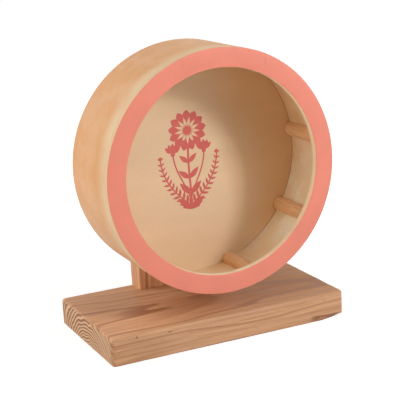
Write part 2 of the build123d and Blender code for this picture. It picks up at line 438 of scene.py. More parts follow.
def board_wood(
    name, look, grain, pith, slope, tones=(1.0, 1.0), ring_start=0.0, dents=(), shade_and_darker_patches=(), front=1.0,
    seed=0.0,
):
    """Softwood with growth rings round a pith line. The grain is the axis that the pith runs along, 0 or 2,
    pith is its place across the grain in millimetres, and slope its drift. Tones are the shares of the early
    and late wood's colour, and front is the share of the rings' contrast that the faces across Y keep."""
    material, place = new_material(name)
    tree = place.tree
    early, late = toned(look.early_wood, tones[0]), toned(look.late_wood, tones[1])
    own_place = shade(tree, "VectorMath", place, (seed, seed, seed), operation="ADD")
    xyz = parts(place)

    def drawn_out(along, across):
        shares = [across] * 3
        shares[grain] = along
        return stretched(own_place, *shares)

    # The rings round the wandering pith
    drifts = []
    for along, across, reach in ((0.008, 0.025, 4.5), (0.012, 0.075, 2.6)):
        noises = put(tree, "ShaderNodeTexNoise", Vector=drawn_out(along, across), Scale=1.0, Detail=1.0)[1]
        drifts.append((put(tree, "ShaderNodeSeparateColor", noises), reach))
    offsets = []
    for axis, side in enumerate((1, 2) if grain == 0 else (0, 1)):
        middle = xyz[grain] * slope[axis] + pith[axis]
        for drift, reach in drifts:
            middle = middle + remap(drift[axis], 0, 1, -reach, reach)
        offsets.append(xyz[side] - middle)
    aside, above = offsets
    radius = maths("SQRT", aside * aside + above * above)
    uneven = shade(tree, "TexNoise", W=radius * 0.1, Scale=1.0, Detail=1.0, noise_dimensions="1D")
    # The rings grow wider outwards; the spacing given is the one at 50 mm from the pith
    growth = maths("LOGARITHM", radius, math.e) * (50 * MM / look.ring_spacing) + ring_start
    phase = uneven * 1.2 + growth
    band = growth_band(maths("FRACT", phase))
    strength = shade(tree, "TexWhiteNoise", W=maths("FLOOR", phase), noise_dimensions="1D")

    # The planed faces
    normals = surface_normal(tree)
    calm = remap(abs(normals[1]), 0.5, 0.95, 1.0, front)
    fibres = cloud(drawn_out(0.03, 2.2), 3.0, 0.65)
    streaks = cloud(drawn_out(0.012, 0.6), 3.0, 0.6)
    colour = blended(remap(band, 0.05, 0.75) * remap(strength, 0, 1, 0.3, 1.0) * calm, early, late)
    colour = laid_on(colour, streaks, 0.42, 0.66, 0.5, toned(late, 1.05, 0.95, 0.9))
    colour = laid_on(colour, fibres, 0.3, 0.75, 0.3, late)
    colour = laid_on(colour, cloud(drawn_out(0.01, 0.035)), 0.35, 0.7, 0.25, toned(early, 0.95, 0.80, 0.72))

    # The ends, where the rings grow fainter on one side of the pith
    contrast = remap(aside, -30, -10, 0.4, 1.0)
    share = remap(band, 0.06, 0.36, -0.42, 0.58) * contrast + 0.42
    across = blended(share, toned(early, 1.10, 1.20, 1.22), toned(late, 0.58, 0.45, 0.28))
    across = laid_on(across, fibres, 0.35, 0.7, 0.2, late)
    colour = laid_on(colour, abs(normals[grain]), 0.75, 0.95, 0.92, across)

    # The wane's torn face, partly painted shade, dark flecks, dents, and patches of painted shade and darker
    # wood
    # The wane's face: torn wood, darker partly as painted shade, since the bevel faces down
    splinters = cloud(stretched(place, 0.12, 0.9, 0.9))
    torn_and_shaded = blended(remap(splinters, 0.35, 0.65), toned(late, 0.62), toned(early, 0.8, 0.68, 0.62))
    colour = blended(attribute(tree, "broken"), colour, torn_and_shaded)
    dark = toned(late, 0.6)
    colour = laid_on(colour, cloud(drawn_out(0.12, 1.1), 1.0), 0.70, 0.78, 0.5, dark)
    colour = patched(colour, place, dents, dark)
    colour = patched(colour, place, shade_and_darker_patches, SHADE_BROWN, "MULTIPLY")
    height = fibres * 0.6 + band * 0.2
    return close_material(material, colour, remap(band, 0, 1, 0.68, 0.5), height, 0.12 * MM, 0.6)


def birch(name, face, stretch=(1.0, 1.0, 1.0), marks=0.35, extra=None):
    """Pale plywood veneer: soft clouds, fine fibres and a few small dark marks along one direction."""
    material, place = new_material(name)
    soft = cloud(stretched(place, *toned(stretch, 0.028)), 3.0, 0.55)
    fibres = cloud(stretched(place, *toned(stretch, 1.1)), 4.0, 0.6)
    specks = cloud(stretched(place, *[0.7 * share ** 0.5 for share in stretch]), 1.0)
    colour = blended(remap(soft, 0.32, 0.68), toned(face, 0.9), face)
    colour = laid_on(colour, fibres, 0.35, 0.75, 0.22, toned(face, 0.80, 0.68, 0.55))
    colour = laid_on(colour, specks, 0.72, 0.80, marks, toned(face, 0.55, 0.42, 0.30))
    if extra:
        colour = extra(place, colour)
    return close_material(material, colour, remap(fibres, 0.3, 0.7, 0.52, 0.66), fibres, 0.05 * MM, 0.4)


def hoop_material(look):
    """Birch with a pale, ragged band of painted light along the front, a patch of painted light low on the
    right inside, and another colour on the hoop's inside.
    """
    outer = look.hoop_wood[:]
    over_outer = [1 / value for value in outer]
    middle = (WHEEL_RADIUS - look.hoop_wall / 2) / MM
    front = HOOP_LOW.y / MM

    def both_sides(place, colour):
        radius, xyz = axle_distance(place)
        stain = cloud(place, 5.0, 0.6, scale=0.03)
        colour = laid_on(colour, stain, 0.42, 0.56, 0.8, toned(outer, 0.88, 0.76, 0.60))
        # A pale, ragged band of painted light along the hoop's front edge
        ragged = remap(cloud(stretched(place, 0.035, 0.02, 0.035)), 0.3, 0.7, 0.6, 1.1)
        pale = remap(xyz[1], front, front + 18, 0.9, 0.0) * ragged
        colour = blended(pale, colour, toned(look.bare_wood, 0.80, 0.75, 0.67))
        painted_light = toned(PAINTED_LIGHT_VENEER, *over_outer)
        inside = patched(toned(look.inner_wood, *over_outer), place, HOOP_LIGHT_PATCH, painted_light)
        tint = blended(maths("GREATER_THAN", radius, middle), inside, (1, 1, 1))
        return blended(1.0, colour, tint, "MULTIPLY")

    return birch("hoop_plywood", outer, stretch=(1.0, 0.12, 1.0), extra=both_sides)


def disc_material(look):
    """Birch with painted warm shade over its right side."""
    def painted_warm_shade(place, colour):
        xyz = parts(place)
        drift = cloud(place, scale=0.03) * 40.0 + (xyz[2] * 0.3 + xyz[0])
        return blended(remap(drift, 85, 130), colour, WARM_SHADE, "MULTIPLY")

    return birch("disc_plywood", look.disc_wood[:], stretch=(0.25, 1.0, 1.0), marks=0.25, extra=painted_warm_shade)


def ring_material(look):
    """Paint on the front face, and bare plywood edges with their plies."""
    paint, bare = look.paint[:], look.bare_wood[:]
    material, place = new_material("ring_paint_and_plywood", roughness=0.45)
    radius, xyz = axle_distance(place)
    painted = remap(cloud(place, scale=0.35) * 0.2 - surface_normal(place.tree)[1], 0.55, 0.70)
    brushed = cloud(stretched(place, 1.4, 1.4, 0.12))
    coat = blended(remap(cloud(place, 3.0, scale=0.045), 0.3, 0.7), toned(paint, 0.94), paint)
    coat = laid_on(coat, brushed, 0.66, 0.76, 0.35, toned(paint, 0.72))
    coat = patched(coat, place, RING_SCRATCHES, toned(paint, 0.62))
    plies = maths("FRACT", (xyz[1] - RING_LOW.y / MM) / 2.4)
    fibres = cloud(stretched(place, 0.5, 2.5, 0.5), 3.0)
    wood = laid_on(bare, abs(plies - 0.5), 0.2, 0.3, 0.16, toned(bare, 0.82, 0.66, 0.5))
    wood = laid_on(wood, fibres, 0.45, 0.75, 0.15, toned(bare, 0.7))
    rim = WHEEL_RADIUS / MM
    # The bare wood darkens towards the ring's outer rim
    wood = blended(remap(radius, rim - 6, rim - 2), wood, RIM_DARKENING, "MULTIPLY")
    colour = blended(painted, wood, coat)
    height = brushed + fibres * 0.5
    return close_material(material, colour, remap(painted, 0, 1, 0.65, 0.48), height, 0.04 * MM, 0.4)


def rung_material(look):
    """Sanded strip wood, grain along the axle, shifted from rung to rung."""
    wood = look.rung_wood[:]
    material, place = new_material("rung_wood")
    shift = attribute(place.tree, "grain_shift")
    place = shade(place.tree, "VectorMath", place, vector(shift, shift, shift), operation="ADD")
    lines = cloud(stretched(place, 0.75, 0.045, 0.75), 3.0, 0.6)
    fibres = cloud(stretched(place, 3.0, 0.15, 3.0), 3.0, 0.6)
    colour = blended(remap(lines, 0.38, 0.62), toned(wood, 1.03), toned(wood, 0.90, 0.82, 0.74))
    colour = laid_on(colour, fibres, 0.4, 0.7, 0.2, toned(wood, 0.6))
    return close_material(material, colour, remap(fibres, 0.3, 0.7, 0.5, 0.62), fibres, 0.06 * MM)


def ink_material(look):
    """Screen print: even colour with tiny gaps where the grain took less ink."""
    material, place = new_material("print_ink")
    grain = cloud(stretched(place, 0.35, 1.0, 2.6), 4.0, 0.7)
    colour = laid_on(look.ink, grain, 0.60, 0.74, 0.5, settings().wheel.disc_wood)
    colour = laid_on(colour, cloud(place, scale=0.09), 0.35, 0.65, 0.15, toned(look.ink, 0.8))
    return close_material(material, colour, remap(grain, 0.3, 0.7, 0.5, 0.62))


def glue_material(look):
    """Glue that matches the disc on the left and is dark brown on the right, where the dark is painted
    contact shade along the joint.
    """
    material, place = new_material("joint_glue", roughness=0.5)
    tone = cloud(place, 3.0, scale=0.4)
    thin, glue_in_shade = [
        blended(remap(tone, 0.3, 0.7), colour, toned(colour, share))
        for colour, share in ((look.disc_wood[:], 0.75), (look.glue[:], 1.5))
    ]
    colour = blended(remap(parts(place)[0], 35, 75), thin, glue_in_shade)
    return close_material(material, colour, height=tone, depth=0.05 * MM, strength=0.3)


def beech():
    """Close-grained hardwood with short flecks."""
    wood = linear(208, 160, 118)
    material, place = new_material("beech_wood")
    flecks = cloud(stretched(place, 0.35, 1.6, 1.6))
    tone = cloud(stretched(place, 0.02, 0.2, 0.2), 3.0)
    colour = blended(remap(tone, 0.3, 0.7), wood, toned(wood, 0.78))
    colour = laid_on(colour, flecks, 0.58, 0.68, 0.5, toned(wood, 0.5))
    return close_material(material, colour, remap(flecks, 0.3, 0.7, 0.6, 0.5), flecks, 0.05 * MM, 0.4)


def steel(name, colour, roughness, turned=0.0):
    """Metal with fine marks; a turned one has them in rings round the axle."""
    material, place = new_material(name, metallic=1.0)
    if turned:
        radius, xyz = axle_distance(place)
        marks = cloud(vector(radius * turned, xyz[1], 0.0))
    else:
        marks = cloud(place, 3.0, scale=3.0)
    colour = blended(remap(cloud(place, 3.0, scale=0.3), 0.3, 0.7), toned(colour, 0.85), colour)
    shine = remap(marks, 0.3, 0.7, roughness * 0.75, roughness * 1.3)
    return close_material(material, colour, shine, marks, 0.01 * MM, 0.3)


# Geometry Nodes


def spoken(key):
    """An input's name as Blender shows it."""
    return key.replace("_", " ").capitalize()


def new_tree(name, **inputs):
    """A Geometry Nodes tree whose named inputs take the defaults given, and its inputs as wires."""
    tree = bpy.data.node_groups.new(name, "GeometryNodeTree")
    tree.interface.new_socket(name="Geometry", in_out="OUTPUT", socket_type="NodeSocketGeometry")
    for key, default in inputs.items():
        kind = "NodeSocketInt" if isinstance(default, int) else "NodeSocketFloat"
        socket = tree.interface.new_socket(name=spoken(key), in_out="INPUT", socket_type=kind)
        socket.default_value = default
        if kind == "NodeSocketFloat":
            socket.subtype = "ANGLE" if key.endswith("angle") else "DISTANCE"
    tree.interface.new_socket(name="Material", in_out="INPUT", socket_type="NodeSocketMaterial")
    start = put(tree, "NodeGroupInput")
    return tree, SimpleNamespace(**{key: start[number] for number, key in enumerate([*inputs, "material"])})


def close_tree(given, geometry):
    """Ends a tree in Realize Instances and Set Material."""
    tree = geometry.tree
    real = geo(tree, "RealizeInstances", geometry)
    put(tree, "NodeGroupOutput", geo(tree, "SetMaterial", real, Material=given.material))
    arrange(tree)
    return tree


def in_scene(name, data):
    """An object for a mesh, a lamp or a camera, linked to the scene."""
    thing = bpy.data.objects.new(name, data)
    bpy.context.scene.collection.objects.link(thing)
    return thing


def settle(thing):
    """Turns a piece and its modifiers into a plain mesh."""
    graph = bpy.context.evaluated_depsgraph_get()
    mesh = bpy.data.meshes.new_from_object(thing.evaluated_get(graph), depsgraph=graph)
    thing.modifiers.clear()
    old = thing.data
    thing.data = mesh
    mesh.name = thing.name
    bpy.data.meshes.remove(old)
    if not mesh.polygons:
        raise RuntimeError(f"{thing.name}: it has no faces left")


def polish(mesh, smooth_angle):
    """Smooth shading with sharp edges past an angle in degrees."""
    mesh.polygons.foreach_set("use_smooth", [True] * len(mesh.polygons))
    mesh.set_sharp_from_angle(angle=math.radians(smooth_angle))
    mesh.update()


def grown(name, tree, material, smooth_angle=35, **inputs):
    """Runs a tree on an empty mesh and returns its result as a plain mesh object."""
    thing = in_scene(name, bpy.data.meshes.new(name))
    modifier = thing.modifiers.new("Grow", "NODES")
    modifier.node_group = tree
    sockets = {item.name: item.identifier for item in tree.interface.items_tree if item.in_out == "INPUT"}
    for key, value in {**inputs, "material": material}.items():
        modifier[sockets[spoken(key)]] = value
    settle(thing)
    polish(thing.data, smooth_angle)
    return thing


def shifted(geometry, translation=(0, 0, 0), rotation=(0, 0, 0), scale=(1, 1, 1)):
    return geo(geometry.tree, "Transform", geometry, Translation=translation, Rotation=rotation, Scale=scale)


def joined(*geometries):
    return geo(tree_of(*geometries), "JoinGeometry", list(geometries))


def circle(tree, sides, radius):
    return geo(tree, "CurvePrimitiveCircle", Resolution=sides, Radius=radius)


def swept(path, section, caps=False):
    """A section swept along a path."""
    return geo(path.tree, "CurveToMesh", Curve=path, Profile_Curve=section, Fill_Caps=caps)


def chance(tree, low, high, seed):
    """A random number for each point or copy."""
    return put(tree, "FunctionNodeRandomValue", None, None, low, high, Seed=seed, data_type="FLOAT")[1]


def sanded(geometry, depth, scale, detail):
    """Sinks a surface unevenly, by up to a depth."""
    tree = geometry.tree
    inwards = cloud(geo(tree, "InputPosition"), detail, scale=scale) * -1.0 * depth
    offset = shade(tree, "VectorMath", geo(tree, "InputNormal"), Scale=inwards, operation="SCALE")
    return geo(tree, "SetPosition", geometry, Offset=offset)


def on_axle(geometry, station):
    """Turns what is made round +Z so that +Z points from the wheel to the post, at a station in Y."""
    return shifted(geometry, vector(y=station, z=AXLE_HEIGHT), (-math.pi / 2, 0, 0))


def in_a_circle(geometry, count, first_angle=0.0, spread=360.0, lift=0.0):
    """Copies of a geometry turned round +Z, each one lifted a little above the last."""
    tree = geometry.tree
    index = geo(tree, "InputIndex")
    points = geo(tree, "Points", Count=count, Position=vector(z=index * lift))
    copies = geo(tree, "InstanceOnPoints", Points=points, Instance=geometry)
    turn = vector(z=index * (math.radians(spread) / count) + first_angle)
    return geo(tree, "RotateInstances", copies, Rotation=turn, Local_Space=False)


def at_hoop(geometry, given):
    """Copies of a rung's part all round the inside of the hoop, clockwise seen from the front."""
    outwards = vector(given.hoop_radius)
    return in_a_circle(shifted(geometry, outwards), given.count, given.first_angle * -1.0)


def rung_arc(radius, points, sweep):
    """The rounded side of a rung, an arc of some degrees with its opening towards the hoop."""
    start = 180 - sweep / 2
    angles = {"Start_Angle": math.radians(start), "Sweep_Angle": math.radians(sweep)}
    return geo(radius.tree, "CurveArc", Resolution=points, Radius=radius, **angles)


def band_tree():
    """A ring or hoop: a rounded section swept round the axle."""
    tree, given = new_tree(
        "Plywood band", radius=0.1, wall=0.016, depth=0.006, edge_round=0.0006, station=0.0, wear=0.0,
        segments=288,
    )
    section = geo(tree, "CurvePrimitiveQuadrilateral", Width=given.wall, Height=given.depth)
    section = geo(tree, "FilletCurve", section, Count=4, Radius=given.edge_round, mode="POLY")
    band = swept(circle(tree, given.segments, given.wall * -0.5 + given.radius), section)
    band = shifted(band, vector(z=given.depth * 0.5))
    return close_tree(given, on_axle(sanded(band, given.wear, 60.0, 1.0), given.station))


def rung_tree():
    """Half-round strips glued across the inside of the hoop."""
    tree, given = new_tree(
        "Rungs", count=9, first_angle=0.14, radius=0.0065, hoop_radius=0.098, length=0.058, station=0.0,
        wear=0.0001, seed=4,
    )
    line = geo(tree, "CurvePrimitiveLine", End=vector(z=given.length))
    line = geo(tree, "ResampleCurve", line, Count=40)
    # The arc stops short of a half circle, so that the strip's flat back rests on the round hoop
    section = geo(tree, "SetSplineCyclic", rung_arc(given.radius, 29, 174.4), Cyclic=True)
    rungs = at_hoop(swept(line, section, caps=True), given)
    shift = chance(tree, 0.0, 900.0, given.seed)
    named = {"Name": "grain_shift", "Value": shift, "data_type": "FLOAT", "domain": "INSTANCE"}
    rungs = geo(tree, "RealizeInstances", geo(tree, "StoreNamedAttribute", rungs, **named))
    return close_tree(given, on_axle(sanded(rungs, given.wear, 140.0, 2.0), given.station))


def joint_tree():
    """Beads of dried glue, which also carry painted contact shade: one where the back disc meets the hoop,
    and one round each rung's end.
    """
    tree, given = new_tree(
        "Glued joints", count=9, first_angle=0.14, rung_radius=0.0065, hoop_radius=0.098, bead=0.00025,
        station=0.0,
    )
    section = circle(tree, 8, given.bead)
    seam = swept(circle(tree, 288, given.hoop_radius - given.bead), section)
    beads = at_hoop(swept(rung_arc(given.rung_radius, 25, 170), section, caps=True), given)
    # The beads sit just in front of the disc
    both = shifted(joined(seam, beads), vector(z=given.bead * -0.3))
    return close_tree(given, on_axle(both, given.station))


def wood_screw(tree, given):
    """One countersunk screw along +Z with its head at zero: cross recess, core, thread and point."""
    radius, head_radius = given.diameter * 0.5, given.head * 0.5
    head_height = head_radius - radius
    core = radius * 0.74
    core_length = given.length - given.tip - head_height
    core_end = head_height + core_length
    head = geo(tree, "MeshCone", Vertices=48, Radius_Top=core, Radius_Bottom=head_radius, Depth=head_height)
    arms = [
        geo(tree, "MeshCube", Size=vector(*[given.head * share for share in shares]))
        for shares in ((0.6, 0.12, 0.46), (0.12, 0.6, 0.46))
    ]
    cross = geo(tree, "MeshBoolean", Mesh_2=arms, operation="UNION", solver="EXACT")
    head = geo(tree, "MeshBoolean", Mesh_1=head, Mesh_2=cross, operation="DIFFERENCE", solver="EXACT")
    rod = geo(tree, "MeshCylinder", Vertices=32, Radius=core, Depth=core_length)
    rod = shifted(rod, vector(z=core_length * 0.5 + head_height))
    point = geo(tree, "MeshCone", Vertices=32, Radius_Top=0.0, Radius_Bottom=core, Depth=given.tip)
    point = shifted(point, vector(z=core_end))
    thread_length = core_length * 0.62
    turns = thread_length / given.pitch
    path = geo(
        tree, "CurveSpiral", Resolution=24, Rotations=turns, Start_Radius=core, End_Radius=core,
        Height=thread_length,
    )
    thread = swept(path, circle(tree, 3, radius * 0.24), caps=True)
    return joined(head, rod, point, shifted(thread, vector(z=core_end - thread_length)))


def hub_screw_tree():
    """Screws on a circle about the axle, with their heads towards the post."""
    tree, given = new_tree(
        "Hub screws", count=4, circle=0.042, diameter=0.0035, head=0.007, length=0.02, tip=0.0025,
        pitch=0.0016, first_angle=math.radians(45), station=0.0,
    )
    screw = shifted(wood_screw(tree, given), rotation=(math.pi, 0, 0))
    screw = shifted(screw, vector(given.circle * 0.5))
    return close_tree(given, on_axle(in_a_circle(screw, given.count, given.first_angle), given.station))


def post_screw_tree():
    """Screws in a row along X, driven upwards."""
    tree, given = new_tree(
        "Post screws", count=2, spacing=0.052, diameter=0.005, head=0.01, length=0.0592, tip=0.005,
        pitch=0.0024, station=0.0, sink=0.0008,
    )
    start = vector(given.spacing * ((given.count - 1.0) * -0.5), given.station, given.sink)
    step = vector(given.spacing)
    row = geo(tree, "MeshLine", Count=given.count, Start_Location=start, Offset=step)
    return close_tree(given, geo(tree, "InstanceOnPoints", Points=row, Instance=wood_screw(tree, given)))


def ball_tree():
    """The balls of one bearing."""
    tree, given = new_tree("Bearing balls", count=7, diameter=0.0039, pitch_diameter=0.015, station=0.0)
    ball = geo(tree, "MeshUVSphere", Segments=32, Rings=20, Radius=given.diameter * 0.5)
    ball = shifted(ball, vector(given.pitch_diameter * 0.5))
    return close_tree(given, on_axle(in_a_circle(ball, given.count), given.station))


def inked(flat, film):
    """Gives flat shapes facing +Z the thickness of the ink film."""
    tree = flat.tree
    raised = geo(
        tree, "ExtrudeMesh", flat, Offset=(0, 0, 1), Offset_Scale=film, Individual=False, mode="FACES"
    )
    return geo(tree, "MergeByDistance", joined(raised, geo(tree, "FlipFaces", flat)), Distance=1e-7)


def blade(tree, length, width, fullness, columns=13, rows=4):
    """A flat leaf or petal along +X. Fullness under 1 is widest near the stalk, over 1 near the tip."""
    grid = geo(tree, "MeshGrid", Size_X=1.0, Size_Y=1.0, Vertices_X=columns, Vertices_Y=rows)
    xyz = parts(geo(tree, "InputPosition"))
    share = xyz[0] + 0.5
    swell = maths("MAXIMUM", maths("SINE", share ** fullness * math.pi), 0.04)
    return geo(tree, "SetPosition", grid, Position=vector(share * length, xyz[1] * swell * width, 0.0))


def stalk(tree, width, *points):
    """A curve with four control points and a flat ribbon along it."""
    curve = geo(tree, "CurvePrimitiveBezierSegment", 32, *[(x, y, 0.0) for x, y in points])
    curve = geo(tree, "SetCurveNormal", curve, mode="Z_UP")
    across = geo(tree, "CurvePrimitiveLine", Start=(-width / 2, 0, 0), End=(width / 2, 0, 0))
    return curve, swept(curve, across)


def leaves(curve, count, leaf, spread, first_size, last_size, seed):
    """Leaves on both sides of a curve, shrinking along it, each turned a little by chance."""
    tree = curve.tree
    points = put(tree, "GeometryNodeCurveToPoints", curve, Count=count, mode="COUNT")
    tangent = parts(points["Tangent"])
    heading = maths("ARCTAN2", tangent[1], tangent[0])
    index = geo(tree, "InputIndex")
    size = remap(index, 0.0, count - 1, first_size, last_size)
    sides = []
    for side in (-1, 1):
        turn = heading + math.radians(spread) * side + chance(tree, -0.09, 0.09, seed + side)
        lifted = geo(tree, "SetPosition", points[0], Offset=vector(z=index * 2e-5 + 1e-5 * side))
        placed = {"Rotation": vector(z=turn), "Scale": vector(size, size, size)}
        sides.append(geo(tree, "InstanceOnPoints", Points=lifted, Instance=leaf, **placed))
    return geo(tree, "RealizeInstances", joined(*sides))


def blossom(centre, petal, inner, count, turn=0.0, spread=360.0):
    """Petals round a centre, starting at a distance from it."""
    ring = in_a_circle(shifted(petal, (inner, 0, 0)), count, math.radians(turn), spread, 2e-5)
    return shifted(geo(petal.tree, "RealizeInstances", ring), (*centre, 0.0))


def dot(tree, centre, radius, sides=32):
    return shifted(geo(tree, "FillCurve", circle(tree, sides, radius), mode="NGONS"), (*centre, 0.0))


def motif_tree():
    """A bunch of meadow plants in shares of its height, flat on +Z before it is turned to the front."""
    tree, given = new_tree(
        "Plant motif", height=0.084, film=0.0001, petals=13, leaf_pairs=5, seed=11, station=0.0, aside=0.0,
        up=0.0,
    )
    # Ink film in shares of the height, a little different from part to part so that no two faces coincide
    film = given.film / given.height
    printed = []

    def print_in(flat, share):
        printed.append(inked(flat, film * share))

    flower = (0.0, 0.31)
    stem, ribbon = stalk(tree, 0.022, (0.0, -0.5), (0.015, -0.25), (-0.02, -0.05), (0.0, 0.14))
    print_in(ribbon, 0.80)
    print_in(leaves(stem, given.leaf_pairs, blade(tree, 0.20, 0.075, 0.85), 48, 0.95, 0.55, given.seed), 0.90)
    for side in (-1, 1):
        outer, ribbon = stalk(
            tree, 0.015, (0.0, -0.47), (0.10 * side, -0.36), (0.29 * side, -0.24), (0.31 * side, 0.04)
        )
        print_in(ribbon, 0.70 + 0.03 * side)
        slim = blade(tree, 0.085, 0.028, 0.9, 9, 3)
        print_in(leaves(outer, 12, slim, 52, 1.15, 0.5, given.seed + (5.0 + side)), 0.85 + 0.02 * side)
        inner = stalk(
            tree, 0.015, (0.0, -0.40), (0.05 * side, -0.22), (0.17 * side, -0.10), (0.17 * side, 0.10)
        )
        print_in(inner[1], 0.76 + 0.01 * side)
        bud = blade(tree, 0.105, 0.046, 1.1, 11, 3)
        print_in(blossom((0.17 * side, 0.09), bud, 0.004, 5, 40, 125), 0.95 + 0.01 * side)
        print_in(dot(tree, (0.17 * side, 0.085), 0.024), 0.66)
        print_in(dot(tree, (0.31 * side, 0.062), 0.016), 0.62)
    print_in(blossom(flower, blade(tree, 0.145, 0.078, 1.7), 0.062, given.petals, 90), 1.0)
    print_in(dot(tree, flower, 0.048), 1.0)
    print_in(blossom(flower, shifted(dot(tree, (0.0, 0.0), 0.0045, 12), (0.056, 0.0, 0.0)), 0.0, 26), 0.60)
    sized = shifted(joined(*printed), scale=vector(given.height, given.height, given.height))
    spot = vector(given.aside, given.station, given.up + AXLE_HEIGHT)
    return close_tree(given, shifted(sized, spot, (math.pi / 2, 0, 0)))


# Boards


def grid_lines(low, high, fine, reach, coarse, extra=()):
    """Places of the grid lines across a board. The steps are in millimetres, fine as far as reach from both
    edges and coarse between."""
    fine, reach, coarse = fine * MM, reach * MM, coarse * MM
    near = np.arange(0, reach, fine)
    count = max(2, round((high - low - 2 * reach) / coarse))
    middle = np.linspace(low + reach, high - reach, count + 1)
    return np.unique(np.concatenate([low + near, middle, high - near, list(extra)]).round(7))


def box_grid(*lines):
    """The outside of a box as a grid of quads that face outwards, from the grid lines along X, Y and Z."""
    shell = np.ones([len(line) for line in lines], bool)
    shell[1:-1, 1:-1, 1:-1] = False
    number = np.full(shell.shape, -1)
    number[shell] = np.arange(shell.sum())
    points = np.stack(np.meshgrid(*lines, indexing="ij"), -1)[shell]
    faces = []
    for axis in range(3):
        for end in (0, -1):
            side = np.take(number, end, axis)
            quads = np.stack([side[:-1, :-1], side[1:, :-1], side[1:, 1:], side[:-1, 1:]], -1).reshape(-1, 4)
            outwards = (end == -1) != (axis == 1)
            faces.append(quads if outwards else quads[:, ::-1])
    return points, np.concatenate(faces)


def edge_distance(points, low, high):
    """How far each point of a box's outside lies from the nearest edge."""
    gaps = np.minimum(points - low, high - points)
    return np.partition(gaps, 1, axis=1)[:, 1]


def round_board(points, low, high, flat, low_round, high_round, corner):
    """Rounds a gridded box like a planed board. The thickness runs along the axis flat, and corner is the
    radius of the outline's corners at each point."""
    a, b = [axis for axis in range(3) if axis != flat]
    centre, half = (low + high) / 2, (high - low) / 2
    local = points - centre
    gap_a, gap_b = half[a] - abs(local[:, a]), half[b] - abs(local[:, b])
    inset = np.minimum(gap_a, gap_b)
    new_inset, level = inset.copy(), local[:, flat].copy()
    for sign, rounding in ((-1, low_round), (1, high_round)):
        depth = half[flat] - sign * local[:, flat]
        on_face = (depth < 1e-9) & (inset < rounding)
        on_side = (inset < 1e-9) & (depth < rounding) & ~on_face
        face_turn, side_turn = (rounding - inset) / rounding, 2 - (rounding - depth) / rounding
        turn = np.where(on_face, face_turn, side_turn) * math.pi / 4
        moved = on_face | on_side
        new_inset[moved] = (rounding - rounding * np.sin(turn))[moved]
        level[moved] = (sign * (half[flat] - rounding + rounding * np.cos(turn)))[moved]
    result = local.copy()
    result[:, flat] = level
    for near, far, mine in ((a, b, gap_a <= gap_b), (b, a, gap_a > gap_b)):
        reach = half[far] - new_inset
        along = abs(local[:, far]) * reach / np.maximum(half[far] - inset, 1e-9)
        out = half[near] - new_inset
        radius = np.maximum(corner - new_inset, 0)
        bend = mine & (reach - along < radius)
        turn = np.where(bend, (radius - (reach - along)) / np.maximum(radius, 1e-9), 0) * math.pi / 4
        along = np.where(bend, reach - radius + radius * np.sin(turn), along)
        out = np.where(bend, out - radius + radius * np.cos(turn), out)
        result[mine, near] = (np.sign(local[:, near]) * out)[mine]
        result[mine, far] = (np.sign(local[:, far]) * along)[mine]
    return result + centre


def noise_at(points, size, seed):
    """Soft noise from -1 to 1 at points, with lumps of a size in millimetres."""
    shift = Vector((seed, seed * 1.7, seed * 0.6))
    return np.array([noise.noise(Vector(point) / (size * MM) + shift) for point in points])


def vertex_places(mesh):
    return np.array([vertex.co for vertex in mesh.vertices])


def move_vertices(mesh, places):
    mesh.vertices.foreach_set("co", places.ravel())
    mesh.update()


def wear_edges(mesh, gaps, wear, seed):
    """Sands a board's edges unevenly and leaves its faces a little uneven, always inwards."""
    places = vertex_places(mesh)
    normals = np.array([vertex.normal for vertex in mesh.vertices])
    reach, sink = 3 * MM, 0.03 * MM
    near_edge = np.clip(1 - gaps / reach, 0, 1)
    lumps = np.clip(noise_at(places, 9, seed) + 0.25, 0, 1)
    nicks = np.clip(noise_at(places, 2.2, seed + 7) - 0.45, 0, 1) * 2
    hollows = sink * (1 + noise_at(places, 22, seed + 3)) / 2
    depth = near_edge * wear * (lumps + nicks) + hollows
    move_vertices(mesh, places - normals * depth[:, None])


def planed_board(name, wood, low, high, lines, flat, rounds, corners, wear, seed):
    """A board with rounded and worn edges, from grid lines along X, Y and Z. Its thickness runs along the
    axis flat. Rounds are the roundings of its two faces, and corners those of its outline, low and high."""
    points, faces = box_grid(*lines)
    corner = np.where(points[:, 2] > (low[2] + high[2]) / 2, corners[1], corners[0])
    mesh = bpy.data.meshes.new(name)
    mesh.from_pydata(round_board(points, low, high, flat, *rounds, corner).tolist(), [], faces.tolist())
    mesh.materials.append(wood)
    mesh.update()
    wear_edges(mesh, edge_distance(points, low, high), wear, seed)
    return in_scene(name, mesh)


def turned_cutter(outline, place, direction):
    """A solid of revolution that cuts a hole: outline is a list of radius and depth along a direction."""
    work = bmesh.new()
    sides = 64
    angles = np.linspace(0, 2 * math.pi, sides, endpoint=False)
    rows = [
        [work.verts.new((radius * math.cos(angle), radius * math.sin(angle), depth)) for angle in angles]
        for radius, depth in outline
    ]
    for first, second in zip(rows, rows[1:]):
        for i in range(sides):
            work.faces.new((first[i], first[i - 1], second[i - 1], second[i]))
    work.faces.new(rows[0])
    work.faces.new(rows[-1][::-1])
    bmesh.ops.recalc_face_normals(work, faces=work.faces)
    turn = Vector((0, 0, 1)).rotation_difference(Vector(direction)).to_matrix().to_4x4()
    work.transform(Matrix.Translation(place) @ turn)
    mesh = bpy.data.meshes.new("cut")
    work.to_mesh(mesh)
    work.free()
    return in_scene("cut", mesh)


def drill(thing, holes):
    """Cuts holes into a board, each one an outline with its place and direction."""
    cutters = [turned_cutter(*hole) for hole in holes]
    for cutter in cutters:
        modifier = thing.modifiers.new("Cut", "BOOLEAN")
        modifier.object = cutter
        modifier.operation = "DIFFERENCE"
        modifier.solver = "EXACT"
    settle(thing)
    for cutter in cutters:
        mesh = cutter.data
        bpy.data.objects.remove(cutter)
        bpy.data.meshes.remove(mesh)


